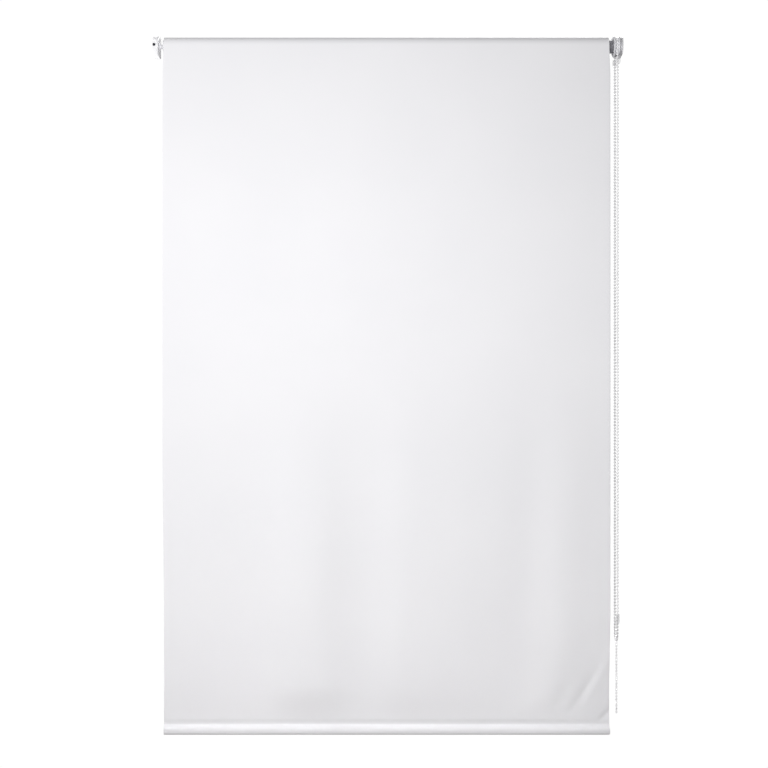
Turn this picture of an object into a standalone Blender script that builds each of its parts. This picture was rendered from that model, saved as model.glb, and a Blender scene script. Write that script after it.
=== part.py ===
"""Roller blind worked by a bead chain: brackets, tube, clutch, cloth, bottom bar and chain.

Units are metres. +X points to the chain end, +Y into the wall and +Z up. The origin lies on the wall, in the
middle of the cloth's width and level with the roller's axis.
"""

import math

import bmesh
import bpy
from mathutils import Vector

MM = 0.001

# Overall sizes
CLOTH_WIDTH = 850 * MM
CLOTH_DROP = 1315 * MM  # from the roller's axis to the lowest point of the hem

# Clearances
SEAT_GAP = 0.3 * MM  # between pieces that touch or rest on each other
BEAD_GAP = 0.35 * MM  # round the bead chain
STRAND_GAP = 0.5 * MM  # between two chain strands that hang side by side
WALL_CLEARANCE = 5 * MM  # from the chain wheel's rim to the wall

# Roller tube and what is wound on it
TUBE_RADIUS = 12.5 * MM
TUBE_WALL = 1.0 * MM
TUBE_BARE_END = 9.5 * MM  # bare tube between the cloth and the chain wheel
TAPE_THICKNESS = 0.3 * MM
TAPE_SPAN_DEG = 50
TAPE_END_MARGIN = 3 * MM
WOUND_THICKNESS = 3.95 * MM
CLOTH_THICKNESS = 0.5 * MM

# Bead chain and its wheel
BEAD_DIAMETER = 4.5 * MM
BEAD_PITCH = 6.0 * MM
BEADS_ROUND_WHEEL = 16
WHEEL_RADIUS = 20 * MM
WHEEL_INNER_RIM = 1.6 * MM  # rim thickness on the tube's side
WHEEL_OUTER_RIM = 1.2 * MM
WHEEL_INNER_FLARE = 1.7 * MM
WHEEL_OUTER_FLARE = 0.5 * MM
WHEEL_EDGE = 0.5 * MM

# Clutch inside the tube's chain end, from the outside in
ADAPTOR_WALL = 1.8 * MM
ADAPTOR_LENGTH = 42 * MM
ADAPTOR_END_WALL = 3 * MM
ADAPTOR_KEY_SPAN_DEG = 24
FLUTE_COUNT = 8
FLUTE_DEPTH = 0.6 * MM
SLEEVE_WALL = 1.7 * MM
SLEEVE_LENGTH = 34 * MM
SLEEVE_SLOT_SPAN_DEG = 60
SPRING_WIRE_RADIUS = 0.6 * MM
SPRING_PITCH = 1.6 * MM
SPRING_TURNS = 6
SPRING_SPACING = 3 * MM
SPRING_TANG_DEG = 21  # each tang stands this far from the middle of the slot
RETAINER_THICKNESS = 0.8 * MM
RETAINER_REACH = 2.4 * MM
RETAINER_GROOVE_DEPTH = 0.8 * MM
RETAINER_MOUTH_DEG = 70
MANDREL_NOSE = 2.0 * MM
MANDREL_FLANGE_RADIUS = 10.5 * MM
MANDREL_FLANGE_THICKNESS = 3.2 * MM
SPIGOT_SIDE = 9 * MM
SPIGOT_PROUD = 1.2 * MM

# Chain guide beside and under the wheel
GUIDE_PLATE_THICKNESS = 1.4 * MM
GUIDE_PLATE_MARGIN = 0.5 * MM
GUIDE_DROP = 2.5 * MM
GUIDE_HEIGHT = 10.5 * MM
GUIDE_WALL = 1.4 * MM

# Brackets
PLATE = 2.0 * MM
ARM_NOSE_RADIUS = 16.5 * MM
ARM_NOSE_RISE = 1.5 * MM
FLANGE_TOP = 22 * MM
FLANGE_BOTTOM = 17.4 * MM
FLANGE_WIDTH = 15.0 * MM
FLANGE_CORNER = 11 * MM
PLATE_CORNER = 2.5 * MM
TOP_FLANGE_WIDTH = 11.5 * MM
TOP_FLANGE_DEPTH = 17 * MM
TOP_HOLE_RADIUS = 1.9 * MM
IDLE_END_SPACE = 11.2 * MM  # from the cloth's edge to the idle bracket's arm

# Wall screws
SCREW_HEAD_RADIUS = 2.7 * MM
SCREW_SHANK_RADIUS = 1.6 * MM
SCREW_HEAD_HEIGHT = 1.5 * MM
SCREW_LENGTH = 20 * MM
SCREW_HEIGHT = 10.6 * MM  # above the roller's axis
SCREW_EDGE = 3.5 * MM
RECESS_WIDTH = 0.7 * MM
RECESS_LENGTH = 3.0 * MM
RECESS_DEPTH = 1.0 * MM

# Idle end: plug, spring pin and the bush that the pin turns in
PIN_RADIUS = 4.0 * MM
PIN_TIP_PROUD = 1.3 * MM  # past the bracket's outer face
PIN_CHAMFER = 0.8 * MM
PIN_COLLAR_RADIUS = 6.7 * MM
PIN_COLLAR_LENGTH = 2 * MM
PIN_STEM_RADIUS = 2.5 * MM
PIN_STEM_LENGTH = 22 * MM
PLUG_LENGTH = 29 * MM
PLUG_FLANGE = 2.2 * MM
PLUG_FRONT_WALL = 3.0 * MM  # inside the tube, beyond the flange
PLUG_CAP_THICKNESS = 3.4 * MM
PLUG_CAP_LEDGE = 1.2 * MM
IDLE_SPRING_WIRE_RADIUS = 0.5 * MM
IDLE_SPRING_TURNS = 7
BUSH_WALL = 1.7 * MM
BUSH_FLANGE_REACH = 1.8 * MM
BUSH_FLANGE_THICKNESS = 1.5 * MM

# Hem and bottom bar
BAR_RADIUS = 5.5 * MM
BAR_WALL = 1.0 * MM
BAR_SHIFT = 1.0 * MM  # the loose bar stands this far out of the hem at the chain end
BAR_PLUG_HEAD = 2.5 * MM
BAR_PLUG_SHANK = 14 * MM
BAR_PLUG_DOME = 0.8 * MM
HEM_CLOTH = 0.6 * MM
HEM_HEIGHT = 23.5 * MM
HEM_SEAM_THICKNESS = 1.4 * MM
HEM_SEAM_HEIGHT = 2.5 * MM

# Chain joiner and the spare chain that hangs from it
JOINER_TOP = -1086 * MM
JOINER_LENGTH = 16 * MM
JOINER_WALL = 1.6 * MM
TAIL_END = -1276 * MM
TAIL_START_DEPTH = 2 * MM
TAIL_DIRECTION = Vector((-0.6, -0.8))  # from the strand to the spare chain, in X and Y

ROUND_SIDES = 40
SMALL_SIDES = 24

# Places worked out from the sizes above
AXIS_TO_WALL = WHEEL_RADIUS + WALL_CLEARANCE
AXIS = Vector((0, -AXIS_TO_WALL, 0))
TUBE_BORE = TUBE_RADIUS - TUBE_WALL
WOUND_INNER = TUBE_RADIUS + TAPE_THICKNESS + 2 * SEAT_GAP
ROLL_RADIUS = WOUND_INNER + WOUND_THICKNESS
CLOTH_LEFT = -CLOTH_WIDTH / 2
CLOTH_RIGHT = CLOTH_WIDTH / 2
TUBE_RIGHT = CLOTH_RIGHT + TUBE_BARE_END
PANEL_BACK = -(AXIS_TO_WALL + ROLL_RADIUS + SEAT_GAP)
PANEL_MIDDLE = PANEL_BACK - CLOTH_THICKNESS / 2
HEM_TOP = HEM_HEIGHT - CLOTH_DROP

BEAD_RADIUS = BEAD_DIAMETER / 2
PITCH_RADIUS = BEAD_PITCH / (2 * math.sin(math.pi / BEADS_ROUND_WHEEL))
GROOVE_FLOOR = PITCH_RADIUS - BEAD_RADIUS - BEAD_GAP
GROOVE_HALF = BEAD_RADIUS + BEAD_GAP
TAIL_SIDE = TAIL_DIRECTION * (BEAD_DIAMETER + STRAND_GAP)
WHEEL_LEFT = TUBE_RIGHT + SEAT_GAP
CHAIN_X = WHEEL_LEFT + WHEEL_INNER_RIM + WHEEL_INNER_FLARE + GROOVE_HALF
WHEEL_RIGHT = CHAIN_X + GROOVE_HALF + WHEEL_OUTER_FLARE + WHEEL_OUTER_RIM
GUIDE_LEFT = WHEEL_RIGHT + SEAT_GAP
GUIDE_RIGHT = GUIDE_LEFT + GUIDE_PLATE_THICKNESS
MANDREL_FLANGE_LEFT = GUIDE_RIGHT + SEAT_GAP
MANDREL_FLANGE_RIGHT = MANDREL_FLANGE_LEFT + MANDREL_FLANGE_THICKNESS
RIGHT_ARM = MANDREL_FLANGE_RIGHT + SEAT_GAP  # inner face
LEFT_ARM = CLOTH_LEFT - IDLE_END_SPACE  # inner face

ADAPTOR_OUTER = TUBE_BORE - SEAT_GAP
ADAPTOR_BORE = ADAPTOR_OUTER - ADAPTOR_WALL
SLEEVE_OUTER = ADAPTOR_BORE - SEAT_GAP
SLEEVE_BORE = SLEEVE_OUTER - SLEEVE_WALL
SPRING_COIL_RADIUS = SLEEVE_BORE - SEAT_GAP - SPRING_WIRE_RADIUS
MANDREL_RADIUS = SPRING_COIL_RADIUS - SPRING_WIRE_RADIUS - SEAT_GAP
MANDREL_BORE = MANDREL_RADIUS + SEAT_GAP
ADAPTOR_RIGHT = TUBE_RIGHT - SEAT_GAP
ADAPTOR_LEFT = ADAPTOR_RIGHT - ADAPTOR_LENGTH
RETAINER_RIGHT = ADAPTOR_LEFT - SEAT_GAP
RETAINER_LEFT = RETAINER_RIGHT - RETAINER_THICKNESS
MANDREL_LEFT = RETAINER_LEFT - SEAT_GAP - MANDREL_NOSE

PLUG_BORE = PIN_RADIUS + SEAT_GAP
PLUG_CHAMBER = PIN_COLLAR_RADIUS + SEAT_GAP
PLUG_LEFT = CLOTH_LEFT - SEAT_GAP - PLUG_FLANGE
CHAMBER_LEFT = CLOTH_LEFT + PLUG_FRONT_WALL
PLUG_RIGHT = CLOTH_LEFT + PLUG_LENGTH
CAP_LEFT = PLUG_RIGHT - PLUG_CAP_THICKNESS
COLLAR_LEFT = CHAMBER_LEFT + SEAT_GAP
COLLAR_RIGHT = COLLAR_LEFT + PIN_COLLAR_LENGTH
PIN_LEFT = LEFT_ARM - PLATE - PIN_TIP_PROUD
BUSH_BORE = PIN_RADIUS + SEAT_GAP
BUSH_OUTER = BUSH_BORE + BUSH_WALL

BAR_CENTRE = Vector((0, PANEL_MIDDLE, BAR_RADIUS + SEAT_GAP + HEM_CLOTH - CLOTH_DROP))

# The chain's heights down a strand, and its foot as shares of the pitch radius with their heights
STRAND_HEIGHTS = (-30 * MM, -120 * MM, -300 * MM, -500 * MM, -700 * MM, -900 * MM, -1040 * MM, -1100 * MM)
FOOT_ROUTE = (
    (1.0, -1121 * MM),
    (0.95, -1126.5 * MM),
    (0.78, -1131.4 * MM),
    (0.51, -1135.2 * MM),
    (0.175, -1137.1 * MM),
)


def finish(name, colour, roughness, metallic=0.0, alpha=1.0):
    """A plain material."""
    material = bpy.data.materials.new(name)
    material.use_nodes = True
    shader = material.node_tree.nodes["Principled BSDF"]
    shader.inputs["Base Color"].default_value = (*colour, 1)
    shader.inputs["Roughness"].default_value = roughness
    shader.inputs["Metallic"].default_value = metallic
    shader.inputs["Alpha"].default_value = alpha
    return material


def add(name, bm, material, location=(0, 0, 0)):
    """An object from a bmesh, with its faces pointing out."""
    bmesh.ops.recalc_face_normals(bm, faces=bm.faces)
    mesh = bpy.data.meshes.new(name)
    bm.to_mesh(mesh)
    bm.free()
    mesh.shade_smooth()
    mesh.set_sharp_from_angle(angle=math.radians(35))
    mesh.materials.append(material)
    obj = bpy.data.objects.new(name, mesh)
    obj.location = location
    bpy.context.scene.collection.objects.link(obj)
    return obj


def combine(target, other, operation):
    """Cuts other from target, or joins it on, and hides other."""
    modifier = target.modifiers.new(other.name, "BOOLEAN")
    modifier.object = other
    modifier.operation = operation
    modifier.solver = "EXACT"
    other.hide_render = True
    other.display_type = "WIRE"


def cut(target, other):
    combine(target, other, "DIFFERENCE")


def join(target, other):
    combine(target, other, "UNION")


def arc(centre, radius, start, end, steps):
    """Points on an arc, from one angle in degrees to another."""
    angles = [math.radians(start + (end - start) * i / steps) for i in range(steps + 1)]
    return [(centre[0] + radius * math.cos(a), centre[1] + radius * math.sin(a)) for a in angles]


def circle(centre, radius, sides):
    return arc(centre, radius, 0, 360, sides)[:-1]


def rectangle(low, high):
    return [low, (high[0], low[1]), high, (low[0], high[1])]


def turned(name, outline, material, sides=ROUND_SIDES, location=AXIS):
    """A piece turned about the X direction. Its outline is (x, radius), open if its ends lie on the axis."""
    bm = bmesh.new()
    verts = [bm.verts.new((x, 0, radius)) for x, radius in outline]
    edges = [bm.edges.new(pair) for pair in zip(verts, verts[1:])]
    if outline[0][1] > 0:
        edges.append(bm.edges.new((verts[-1], verts[0])))
    whole_turn = 2 * math.pi
    bmesh.ops.spin(bm, geom=verts + edges, axis=(1, 0, 0), angle=whole_turn, steps=sides, use_merge=True)
    bmesh.ops.remove_doubles(bm, verts=bm.verts, dist=0.001 * MM)
    return add(name, bm, material, location)


def prism(name, outline, direction, low, high, material, location=(0, 0, 0)):
    """An outline drawn across X, Y or Z and extruded along it from low to high."""
    index = "XYZ".index(direction)
    bm = bmesh.new()
    corners = []
    for first, second in outline:
        point = [first, second]
        point.insert(index, low)
        corners.append(bm.verts.new(point))
    face = bm.faces.new(corners)
    made = bmesh.ops.extrude_face_region(bm, geom=[face])
    move = [0, 0, 0]
    move[index] = high - low
    bmesh.ops.translate(bm, verts=[v for v in made["geom"] if isinstance(v, bmesh.types.BMVert)], vec=move)
    return add(name, bm, material, location)


def wire(name, points, radius, material, bevel_resolution, location=(0, 0, 0), closed=False):
    """A round wire or cord along points."""
    curve = bpy.data.curves.new(name, "CURVE")
    curve.dimensions = "3D"
    curve.bevel_depth = radius
    curve.bevel_resolution = bevel_resolution
    curve.use_fill_caps = True
    spline = curve.splines.new("POLY")
    spline.points.add(len(points) - 1)
    for spline_point, place in zip(spline.points, points):
        spline_point.co = (*place, 1)
    spline.use_cyclic_u = closed
    curve.materials.append(material)
    obj = bpy.data.objects.new(name, curve)
    obj.location = location
    bpy.context.scene.collection.objects.link(obj)
    return obj


def fluted(outer, depth, count, rib_share=0.4, steps=2):
    """Outline of a round plug with lengthwise ribs."""
    points = []
    for i in range(count):
        start = 360 * i / count
        rib_end = start + 360 * rib_share / count
        points += arc((0, 0), outer, start, rib_end, steps)
        points += arc((0, 0), outer - depth, rib_end + 2, start + 360 / count - 2, steps + 1)
    return points


def sector(inner, outer, middle, span, steps):
    """Outline of a ring's sector, with its middle and span in degrees."""
    start, end = middle - span / 2, middle + span / 2
    return arc((0, 0), outer, start, end, steps) + arc((0, 0), inner, end, start, steps)


# ---- Brackets, on the wall ----


def arm_outline():
    """Side view of a bracket's arm: a nose round the roller's axis, and a straight back on the wall."""
    nose = (-AXIS_TO_WALL, ARM_NOSE_RISE)
    return (
        [(0, FLANGE_TOP), (-TOP_FLANGE_DEPTH, FLANGE_TOP)]
        + arc(nose, ARM_NOSE_RADIUS, 100, 262, 18)
        + [(0, -FLANGE_BOTTOM)]
    )


def flange_outline(root, outer):
    """Front view of a wall flange, from the arm at root out to its free edge, with rounded free corners."""
    side = 1 if outer > root else -1
    low_corner = [
        (outer - side * FLANGE_CORNER * (1 - math.cos(a)), FLANGE_CORNER * (1 - math.sin(a)) - FLANGE_BOTTOM)
        for a in (math.radians(15 * i) for i in range(7))
    ]
    high_corner = [
        (outer - side * PLATE_CORNER * (1 - math.cos(a)), FLANGE_TOP - PLATE_CORNER * (1 - math.sin(a)))
        for a in (math.radians(30 * i) for i in range(3, -1, -1))
    ]
    return [(root, FLANGE_TOP)] + high_corner + low_corner + [(root, -FLANGE_BOTTOM)]


def bracket(name, inner_face, outer_face, flange_edge, screw_places, white):
    """One stamped bracket: an arm across the roller's end and a flange on the wall."""
    low, high = sorted((inner_face, outer_face))
    body = prism(name, arm_outline(), "X", low, high, white)
    root = (low + high) / 2
    flange = prism(name + "_flange", flange_outline(root, flange_edge), "Y", -PLATE, 0, white)
    join(body, flange)
    for number, (x, z) in enumerate(screw_places):
        hole = SCREW_SHANK_RADIUS + SEAT_GAP
        sink = SCREW_HEAD_RADIUS + SEAT_GAP
        outline = [(-MM, 0), (-MM, hole), (PLATE - SCREW_HEAD_HEIGHT, hole), (PLATE, sink)]
        outline += [(PLATE + MM, sink), (PLATE + MM, 0)]
        cutter = turned(f"{name}_hole_{number}", outline, white, SMALL_SIDES, (x, 0, z))
        cutter.rotation_euler.z = -math.pi / 2
        cut(body, cutter)
    return body


def left_bracket(white):
    outer = LEFT_ARM - PLATE
    edge = outer - FLANGE_WIDTH
    body = bracket("bracket_left", LEFT_ARM, outer, edge, [(edge + SCREW_EDGE, SCREW_HEIGHT)], white)
    low = (outer - TOP_FLANGE_WIDTH, -TOP_FLANGE_DEPTH)
    top = rectangle(low, (LEFT_ARM - PLATE / 2, -PLATE / 2))
    join(body, prism("top_flange", top, "Z", FLANGE_TOP - PLATE, FLANGE_TOP, white))
    for number, share in enumerate((0.35, 0.75)):
        place = (outer - TOP_FLANGE_WIDTH / 2, -TOP_FLANGE_DEPTH * share)
        outline = circle(place, TOP_HOLE_RADIUS, SMALL_SIDES)
        ends = (FLANGE_TOP - 2 * PLATE, FLANGE_TOP + PLATE)
        cut(body, prism(f"top_hole_{number}", outline, "Z", *ends, white))
    bush_hole = BUSH_OUTER + SEAT_GAP
    ends = (outer - PLATE, LEFT_ARM + PLATE)
    cut(body, prism("bush_hole", circle((0, 0), bush_hole, SMALL_SIDES), "X", *ends, white, AXIS))


def right_screw_places():
    x = RIGHT_ARM - FLANGE_WIDTH / 2
    return [(x, SCREW_HEIGHT), (x, -SCREW_HEIGHT)]


def right_bracket(white):
    outer = RIGHT_ARM + PLATE
    body = bracket("bracket_right", RIGHT_ARM, outer, RIGHT_ARM - FLANGE_WIDTH, right_screw_places(), white)
    half = SPIGOT_SIDE / 2 + SEAT_GAP
    hole = rectangle((-half, -half), (half, half))
    cut(body, prism("spigot_hole", hole, "X", RIGHT_ARM - PLATE, outer + PLATE, white, AXIS))


def wall_screw(name, x, z, steel):
    """A countersunk wood screw in a flange's hole, with a cross recess."""
    head = PLATE + SEAT_GAP
    neck = head - SCREW_HEAD_HEIGHT
    tip = head - SCREW_LENGTH
    outline = [(tip, 0), (tip + 4 * SCREW_SHANK_RADIUS, SCREW_SHANK_RADIUS), (neck, SCREW_SHANK_RADIUS)]
    outline += [(head - 0.2 * MM, SCREW_HEAD_RADIUS), (head, SCREW_HEAD_RADIUS), (head, 0)]
    screw = turned(name, outline, steel, SMALL_SIDES, (x, 0, z))
    screw.rotation_euler.z = -math.pi / 2
    arms = ((RECESS_LENGTH, RECESS_WIDTH), (RECESS_WIDTH, RECESS_LENGTH))
    for number, (wide, tall) in enumerate(arms):
        slot = rectangle((x - wide / 2, z - tall / 2), (x + wide / 2, z + tall / 2))
        cut(screw, prism(f"{name}_recess_{number}", slot, "Y", -head - MM, RECESS_DEPTH - head, steel))


def pin_bush(plastic):
    """The bush in the idle bracket's arm, which the spring pin turns in."""
    flange_right = LEFT_ARM + SEAT_GAP + BUSH_FLANGE_THICKNESS
    left = LEFT_ARM - PLATE
    shoulder = LEFT_ARM + SEAT_GAP
    flange = BUSH_OUTER + BUSH_FLANGE_REACH
    outline = [(left, BUSH_BORE), (left, BUSH_OUTER), (shoulder, BUSH_OUTER), (shoulder, flange)]
    outline += [(flange_right, flange), (flange_right, BUSH_BORE)]
    turned("pin_bush", outline, plastic, SMALL_SIDES)


# ---- Roller ----


def roller_tube(steel):
    outline = [(CLOTH_LEFT, TUBE_BORE), (CLOTH_LEFT, TUBE_RADIUS)]
    outline += [(TUBE_RIGHT, TUBE_RADIUS), (TUBE_RIGHT, TUBE_BORE)]
    turned("roller_tube", outline, steel)


def cloth_tape(tape):
    """The double-sided tape that holds the cloth's end on the tube."""
    inner = TUBE_RADIUS + SEAT_GAP
    outline = sector(inner, inner + TAPE_THICKNESS, 60, TAPE_SPAN_DEG, 6)
    ends = (CLOTH_LEFT + TAPE_END_MARGIN, CLOTH_RIGHT - TAPE_END_MARGIN)
    prism("cloth_tape", outline, "X", *ends, tape, AXIS)


def wound_cloth(cloth):
    outline = [(CLOTH_LEFT, WOUND_INNER), (CLOTH_LEFT, ROLL_RADIUS)]
    outline += [(CLOTH_RIGHT, ROLL_RADIUS), (CLOTH_RIGHT, WOUND_INNER)]
    turned("wound_cloth", outline, cloth)


def cloth_panel(cloth):
    """The hanging cloth, from the front of the roll down to the hem."""
    face = rectangle((CLOTH_LEFT, PANEL_BACK - CLOTH_THICKNESS), (CLOTH_RIGHT, PANEL_BACK))
    prism("cloth_panel", face, "Z", HEM_TOP + SEAT_GAP, 0, cloth)


# ---- Idle end ----


def idle_plug(plastic):
    """The ribbed plug in the tube's idle end, bored for the pin and its spring."""
    ribs = fluted(TUBE_BORE - SEAT_GAP, FLUTE_DEPTH, FLUTE_COUNT)
    body = prism("idle_plug", ribs, "X", CLOTH_LEFT - SEAT_GAP, PLUG_RIGHT, plastic, AXIS)
    rim = circle((0, 0), TUBE_RADIUS, ROUND_SIDES)
    join(body, prism("plug_flange", rim, "X", PLUG_LEFT, CLOTH_LEFT - SEAT_GAP, plastic, AXIS))
    ledge = PLUG_CHAMBER + PLUG_CAP_LEDGE
    seat = CAP_LEFT - SEAT_GAP
    bore = [(PLUG_LEFT - MM, 0), (PLUG_LEFT - MM, PLUG_BORE), (CHAMBER_LEFT, PLUG_BORE)]
    bore += [(CHAMBER_LEFT, PLUG_CHAMBER), (seat, PLUG_CHAMBER), (seat, ledge)]
    bore += [(PLUG_RIGHT + MM, ledge), (PLUG_RIGHT + MM, 0)]
    cut(body, turned("plug_chamber", bore, plastic, SMALL_SIDES))


def plug_cap(plastic):
    """The cap that closes the plug behind the spring and guides the pin's stem."""
    hole = PIN_STEM_RADIUS + SEAT_GAP
    outer = PLUG_CHAMBER + PLUG_CAP_LEDGE - SEAT_GAP
    outline = [(CAP_LEFT, hole), (CAP_LEFT, outer), (PLUG_RIGHT, outer), (PLUG_RIGHT, hole)]
    turned("plug_cap", outline, plastic, SMALL_SIDES)


def idle_pin(plastic):
    stem_end = COLLAR_RIGHT + PIN_STEM_LENGTH
    outline = [
        (PIN_LEFT, 0),
        (PIN_LEFT, PIN_RADIUS - PIN_CHAMFER),
        (PIN_LEFT + PIN_CHAMFER, PIN_RADIUS),
        (COLLAR_LEFT, PIN_RADIUS),
        (COLLAR_LEFT, PIN_COLLAR_RADIUS),
        (COLLAR_RIGHT, PIN_COLLAR_RADIUS),
        (COLLAR_RIGHT, PIN_STEM_RADIUS),
        (stem_end, PIN_STEM_RADIUS),
        (stem_end, 0),
    ]
    turned("idle_pin", outline, plastic, SMALL_SIDES)


def idle_spring(steel):
    """The compression spring behind the pin's collar."""
    start = COLLAR_RIGHT + SEAT_GAP + IDLE_SPRING_WIRE_RADIUS
    end = CAP_LEFT - SEAT_GAP - IDLE_SPRING_WIRE_RADIUS
    radius = PIN_COLLAR_RADIUS - IDLE_SPRING_WIRE_RADIUS
    steps = IDLE_SPRING_TURNS * 12
    points = []
    for i in range(steps + 1):
        turn = 2 * math.pi * i / 12
        x = start + (end - start) * i / steps
        points.append((x, radius * math.cos(turn), radius * math.sin(turn)))
    wire("idle_spring", points, IDLE_SPRING_WIRE_RADIUS, steel, 1, AXIS)


# ---- Chain end ----


def chain_wheel(plastic):
    """The grooved wheel, and the slotted sleeve that drives the adaptor inside the tube."""
    rim_left = WHEEL_LEFT + WHEEL_INNER_RIM
    rim_right = WHEEL_RIGHT - WHEEL_OUTER_RIM
    flare = PITCH_RADIUS
    outline = [
        (WHEEL_LEFT, MANDREL_BORE),
        (WHEEL_LEFT, WHEEL_RADIUS - WHEEL_EDGE),
        (WHEEL_LEFT + WHEEL_EDGE, WHEEL_RADIUS),
        (rim_left, WHEEL_RADIUS),
        (CHAIN_X - GROOVE_HALF, flare),
        (CHAIN_X - GROOVE_HALF, GROOVE_FLOOR),
        (CHAIN_X + GROOVE_HALF, GROOVE_FLOOR),
        (CHAIN_X + GROOVE_HALF, flare),
        (rim_right, WHEEL_RADIUS),
        (WHEEL_RIGHT - WHEEL_EDGE, WHEEL_RADIUS),
        (WHEEL_RIGHT, WHEEL_RADIUS - WHEEL_EDGE),
        (WHEEL_RIGHT, MANDREL_BORE),
    ]
    wheel = turned("chain_wheel", outline, plastic)
    sleeve = sector(SLEEVE_BORE, SLEEVE_OUTER, 270, 360 - SLEEVE_SLOT_SPAN_DEG, 20)
    ends = (WHEEL_LEFT - SLEEVE_LENGTH, WHEEL_LEFT + WHEEL_INNER_RIM)
    join(wheel, prism("drive_sleeve", sleeve, "X", *ends, plastic, AXIS))


def drive_adaptor(plastic):
    """The ribbed adaptor that turns the tube, with the key that the clutch springs bear on."""
    ribs = fluted(ADAPTOR_OUTER, FLUTE_DEPTH, FLUTE_COUNT)
    body = prism("drive_adaptor", ribs, "X", ADAPTOR_LEFT, ADAPTOR_RIGHT, plastic, AXIS)
    floor = ADAPTOR_LEFT + ADAPTOR_END_WALL
    bore = [(ADAPTOR_LEFT - MM, 0), (ADAPTOR_LEFT - MM, MANDREL_BORE), (floor, MANDREL_BORE)]
    bore += [(floor, ADAPTOR_BORE), (ADAPTOR_RIGHT + MM, ADAPTOR_BORE), (ADAPTOR_RIGHT + MM, 0)]
    cut(body, turned("adaptor_bore", bore, plastic, 32))
    key = sector(SLEEVE_BORE + SEAT_GAP, ADAPTOR_BORE + ADAPTOR_WALL / 2, 90, ADAPTOR_KEY_SPAN_DEG, 4)
    ends = (ADAPTOR_LEFT + ADAPTOR_END_WALL / 2, ADAPTOR_RIGHT - SPRING_SPACING)
    join(body, prism("adaptor_key", key, "X", *ends, plastic, AXIS))


def wrap_spring(name, start, steel):
    """A clutch spring that grips the mandrel, with a tang at each end in the sleeve's slot."""
    steps_a_turn = 14
    first = 90 - SPRING_TANG_DEG
    whole = 360 * SPRING_TURNS + 2 * SPRING_TANG_DEG
    steps = steps_a_turn * SPRING_TURNS
    tang = SLEEVE_OUTER - SPRING_WIRE_RADIUS
    end = start + SPRING_PITCH * SPRING_TURNS
    points = [(start, tang * math.cos(math.radians(first)), tang * math.sin(math.radians(first)))]
    for i in range(steps + 1):
        angle = math.radians(first + whole * i / steps)
        x = start + (end - start) * i / steps
        points.append((x, SPRING_COIL_RADIUS * math.cos(angle), SPRING_COIL_RADIUS * math.sin(angle)))
    last = math.radians(first + whole)
    points.append((end, tang * math.cos(last), tang * math.sin(last)))
    wire(name, points, SPRING_WIRE_RADIUS, steel, 1, AXIS)


def clutch_mandrel(plastic):
    """The fixed shaft of the clutch, with the flange and the square spigot that the bracket holds."""
    groove = MANDREL_RADIUS - RETAINER_GROOVE_DEPTH
    outline = [
        (MANDREL_LEFT, 0),
        (MANDREL_LEFT, MANDREL_RADIUS - SEAT_GAP),
        (MANDREL_LEFT + SEAT_GAP, MANDREL_RADIUS),
        (RETAINER_LEFT - SEAT_GAP, MANDREL_RADIUS),
        (RETAINER_LEFT - SEAT_GAP, groove),
        (RETAINER_RIGHT + SEAT_GAP, groove),
        (RETAINER_RIGHT + SEAT_GAP, MANDREL_RADIUS),
        (MANDREL_FLANGE_LEFT, MANDREL_RADIUS),
        (MANDREL_FLANGE_LEFT, MANDREL_FLANGE_RADIUS),
        (MANDREL_FLANGE_RIGHT, MANDREL_FLANGE_RADIUS),
        (MANDREL_FLANGE_RIGHT, 0),
    ]
    mandrel = turned("clutch_mandrel", outline, plastic, 32)
    half = SPIGOT_SIDE / 2
    square = rectangle((-half, -half), (half, half))
    ends = (MANDREL_FLANGE_LEFT + MANDREL_FLANGE_THICKNESS / 2, RIGHT_ARM + PLATE + SPIGOT_PROUD)
    join(mandrel, prism("mandrel_spigot", square, "X", *ends, plastic, AXIS))


def retaining_clip(steel):
    """The open ring in the mandrel's groove that keeps the adaptor on."""
    inner = MANDREL_RADIUS - RETAINER_GROOVE_DEPTH + SEAT_GAP
    outline = sector(inner, inner + RETAINER_REACH, 90, 360 - RETAINER_MOUTH_DEG, 20)
    prism("retaining_clip", outline, "X", RETAINER_LEFT, RETAINER_RIGHT, steel, AXIS)


def chain_guide(clear):
    """The fixed plate beside the wheel, with an eye for each strand under it."""
    plate_radius = WHEEL_RADIUS - GUIDE_PLATE_MARGIN
    top = -WHEEL_RADIUS - GUIDE_DROP
    bottom = top - GUIDE_HEIGHT
    half_width = PITCH_RADIUS + BEAD_RADIUS + BEAD_GAP + GUIDE_WALL
    outline = arc((0, 0), plate_radius, -35, 215, 30) + [(-half_width, top), (-half_width, bottom)]
    outline += [(half_width, bottom), (half_width, top)]
    guide = prism("chain_guide", outline, "X", GUIDE_LEFT, GUIDE_RIGHT, clear, AXIS)
    eye_reach = BEAD_RADIUS + BEAD_GAP + GUIDE_WALL
    left = CHAIN_X - eye_reach
    block = rectangle((left, -half_width), (GUIDE_LEFT + GUIDE_PLATE_THICKNESS / 2, half_width))
    join(guide, prism("guide_block", block, "Z", bottom, top, clear, AXIS))
    for side in (-1, 1):
        eye = circle((CHAIN_X, side * PITCH_RADIUS), BEAD_RADIUS + BEAD_GAP, SMALL_SIDES)
        cut(guide, prism(f"guide_eye_{side}", eye, "Z", bottom - MM, top + MM, clear, AXIS))
    shaft = circle((0, 0), MANDREL_BORE, SMALL_SIDES)
    cut(guide, prism("guide_bore", shaft, "X", GUIDE_LEFT - MM, GUIDE_RIGHT + MM, clear, AXIS))


# ---- Bead chain ----


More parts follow.
